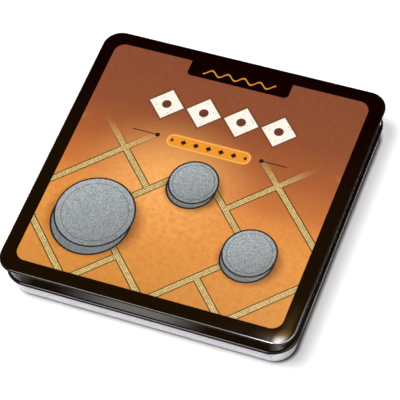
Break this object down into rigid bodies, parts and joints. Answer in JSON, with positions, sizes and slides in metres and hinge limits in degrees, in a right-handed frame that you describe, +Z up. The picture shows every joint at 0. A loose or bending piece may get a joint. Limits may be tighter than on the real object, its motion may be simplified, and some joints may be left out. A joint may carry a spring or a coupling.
{
  "type": "nine mens morris travel game tin",
  "caption": "Flat square hinged tin with a rimmed printed lid over a bare base, holding a morris board and loose magnetic men.",
  "frame": {"origin": "on the ground under the middle of the closed tin", "axes": "+Z up, front edge towards -Y, hinge along +Y, +X to the right seen from the front"},
  "size_m": [0.16, 0.16, 0.026],
  "materials": {
    "tinplate": "bare bright tinplate",
    "printed_tinplate": "gloss varnish over offset print on tinplate",
    "steel_wire": "bright drawn wire",
    "printed_card": "matt litho print on card",
    "light_plastic": "satin moulded plastic",
    "dark_plastic": "satin moulded plastic",
    "ferrite": "sintered ferrite, dull grey-black"
  },
  "bodies": {
    "base": {"base_shell": "tinplate", "board_card": "printed_card"},
    "lid": {"lid_shell": "printed_tinplate", "hinge_wire": "steel_wire"},
    "light_man_1": {"light_man_1": "light_plastic", "light_man_1_magnet": "ferrite"},
    "light_man_2": {"light_man_2": "light_plastic", "light_man_2_magnet": "ferrite"},
    "light_man_3": {"light_man_3": "light_plastic", "light_man_3_magnet": "ferrite"},
    "light_man_4": {"light_man_4": "light_plastic", "light_man_4_magnet": "ferrite"},
    "light_man_5": {"light_man_5": "light_plastic", "light_man_5_magnet": "ferrite"},
    "light_man_6": {"light_man_6": "light_plastic", "light_man_6_magnet": "ferrite"},
    "light_man_7": {"light_man_7": "light_plastic", "light_man_7_magnet": "ferrite"},
    "light_man_8": {"light_man_8": "light_plastic", "light_man_8_magnet": "ferrite"},
    "light_man_9": {"light_man_9": "light_plastic", "light_man_9_magnet": "ferrite"},
    "dark_man_1": {"dark_man_1": "dark_plastic", "dark_man_1_magnet": "ferrite"},
    "dark_man_2": {"dark_man_2": "dark_plastic", "dark_man_2_magnet": "ferrite"},
    "dark_man_3": {"dark_man_3": "dark_plastic", "dark_man_3_magnet": "ferrite"},
    "dark_man_4": {"dark_man_4": "dark_plastic", "dark_man_4_magnet": "ferrite"},
    "dark_man_5": {"dark_man_5": "dark_plastic", "dark_man_5_magnet": "ferrite"},
    "dark_man_6": {"dark_man_6": "dark_plastic", "dark_man_6_magnet": "ferrite"},
    "dark_man_7": {"dark_man_7": "dark_plastic", "dark_man_7_magnet": "ferrite"},
    "dark_man_8": {"dark_man_8": "dark_plastic", "dark_man_8_magnet": "ferrite"},
    "dark_man_9": {"dark_man_9": "dark_plastic", "dark_man_9_magnet": "ferrite"}
  },
  "joints": [
    {"name": "lid_hinge", "type": "hinge", "parent": "base", "child": "lid", "pos_m": [0, 0.0786, 0.01305], "axis": [-1, 0, 0], "range_deg": [0, 180]},
    {"name": "light_man_1_lift", "type": "slide", "parent": "base", "child": "light_man_1", "axis": [0, 0, 1], "range_m": [0, 0.015]},
    {"name": "light_man_2_lift", "type": "slide", "parent": "base", "child": "light_man_2", "axis": [0, 0, 1], "range_m": [0, 0.015]},
    {"name": "light_man_3_lift", "type": "slide", "parent": "base", "child": "light_man_3", "axis": [0, 0, 1], "range_m": [0, 0.015]},
    {"name": "light_man_4_lift", "type": "slide", "parent": "base", "child": "light_man_4", "axis": [0, 0, 1], "range_m": [0, 0.015]},
    {"name": "light_man_5_lift", "type": "slide", "parent": "base", "child": "light_man_5", "axis": [0, 0, 1], "range_m": [0, 0.015]},
    {"name": "light_man_6_lift", "type": "slide", "parent": "base", "child": "light_man_6", "axis": [0, 0, 1], "range_m": [0, 0.015]},
    {"name": "light_man_7_lift", "type": "slide", "parent": "base", "child": "light_man_7", "axis": [0, 0, 1], "range_m": [0, 0.015]},
    {"name": "light_man_8_lift", "type": "slide", "parent": "base", "child": "light_man_8", "axis": [0, 0, 1], "range_m": [0, 0.015]},
    {"name": "light_man_9_lift", "type": "slide", "parent": "base", "child": "light_man_9", "axis": [0, 0, 1], "range_m": [0, 0.015]},
    {"name": "dark_man_1_lift", "type": "slide", "parent": "base", "child": "dark_man_1", "axis": [0, 0, 1], "range_m": [0, 0.015]},
    {"name": "dark_man_2_lift", "type": "slide", "parent": "base", "child": "dark_man_2", "axis": [0, 0, 1], "range_m": [0, 0.015]},
    {"name": "dark_man_3_lift", "type": "slide", "parent": "base", "child": "dark_man_3", "axis": [0, 0, 1], "range_m": [0, 0.015]},
    {"name": "dark_man_4_lift", "type": "slide", "parent": "base", "child": "dark_man_4", "axis": [0, 0, 1], "range_m": [0, 0.015]},
    {"name": "dark_man_5_lift", "type": "slide", "parent": "base", "child": "dark_man_5", "axis": [0, 0, 1], "range_m": [0, 0.015]},
    {"name": "dark_man_6_lift", "type": "slide", "parent": "base", "child": "dark_man_6", "axis": [0, 0, 1], "range_m": [0, 0.015]},
    {"name": "dark_man_7_lift", "type": "slide", "parent": "base", "child": "dark_man_7", "axis": [0, 0, 1], "range_m": [0, 0.015]},
    {"name": "dark_man_8_lift", "type": "slide", "parent": "base", "child": "dark_man_8", "axis": [0, 0, 1], "range_m": [0, 0.015]},
    {"name": "dark_man_9_lift", "type": "slide", "parent": "base", "child": "dark_man_9", "axis": [0, 0, 1], "range_m": [0, 0.015]}
  ]
}
